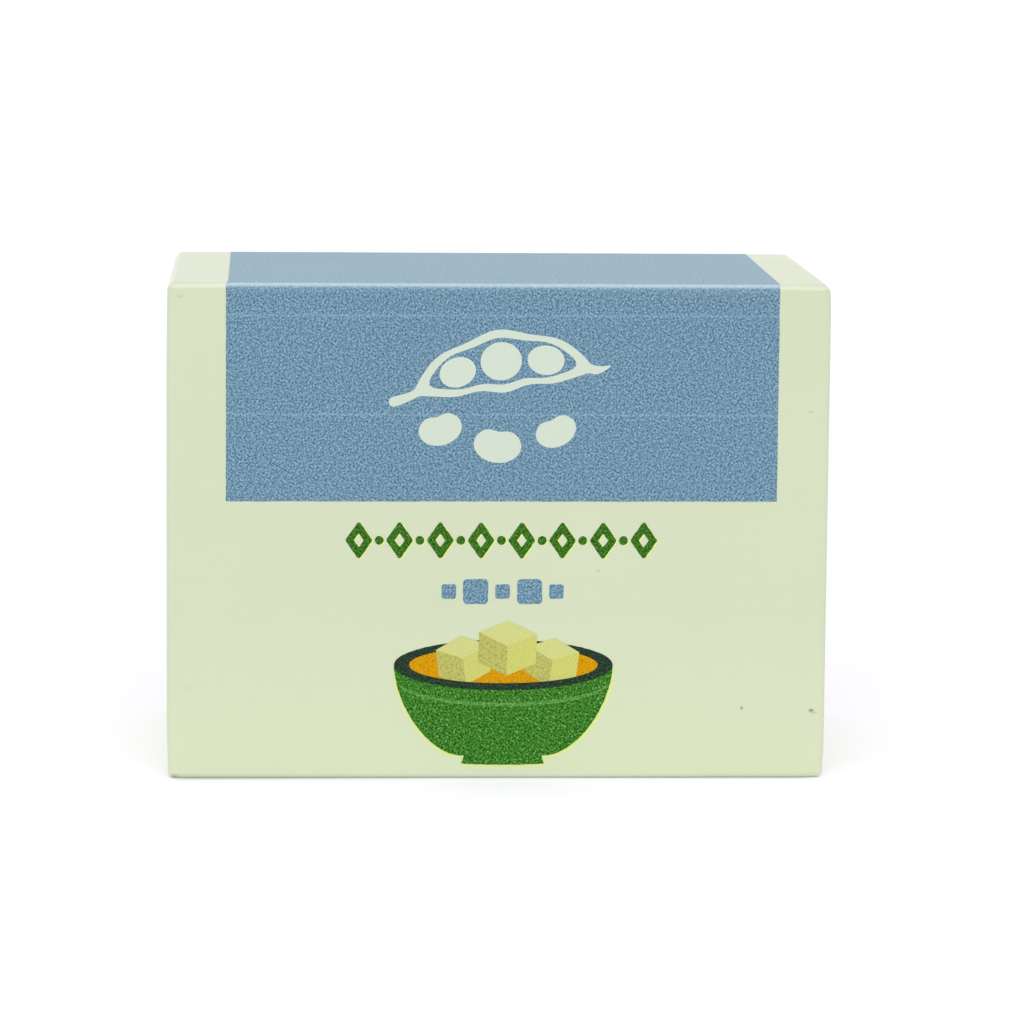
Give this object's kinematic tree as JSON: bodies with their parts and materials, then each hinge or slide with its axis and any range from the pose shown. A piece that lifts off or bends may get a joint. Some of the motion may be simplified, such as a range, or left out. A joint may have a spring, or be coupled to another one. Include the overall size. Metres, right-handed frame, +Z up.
{
  "type": "wooden toy tofu block",
  "caption": "Solid painted wooden play-food block with eased edges, a blue printed band over front, top and back, and a drawn bowl of tofu cubes; stands on its flat underside.",
  "frame": {"origin": "middle of the flat underside", "axes": "+Z up as it stands, +X along the broad front from the viewer's left to right, the printed front faces -Y"},
  "size_m": [0.066, 0.038, 0.0498],
  "materials": {
    "pale_paint": "satin",
    "blue_print": "satin",
    "white_print": "satin",
    "green_print": "satin",
    "dark_green_print": "satin",
    "orange_print": "satin",
    "cream_print": "satin"
  },
  "bodies": {
    "root": {"block": "pale_paint"}
  },
  "joints": []
}
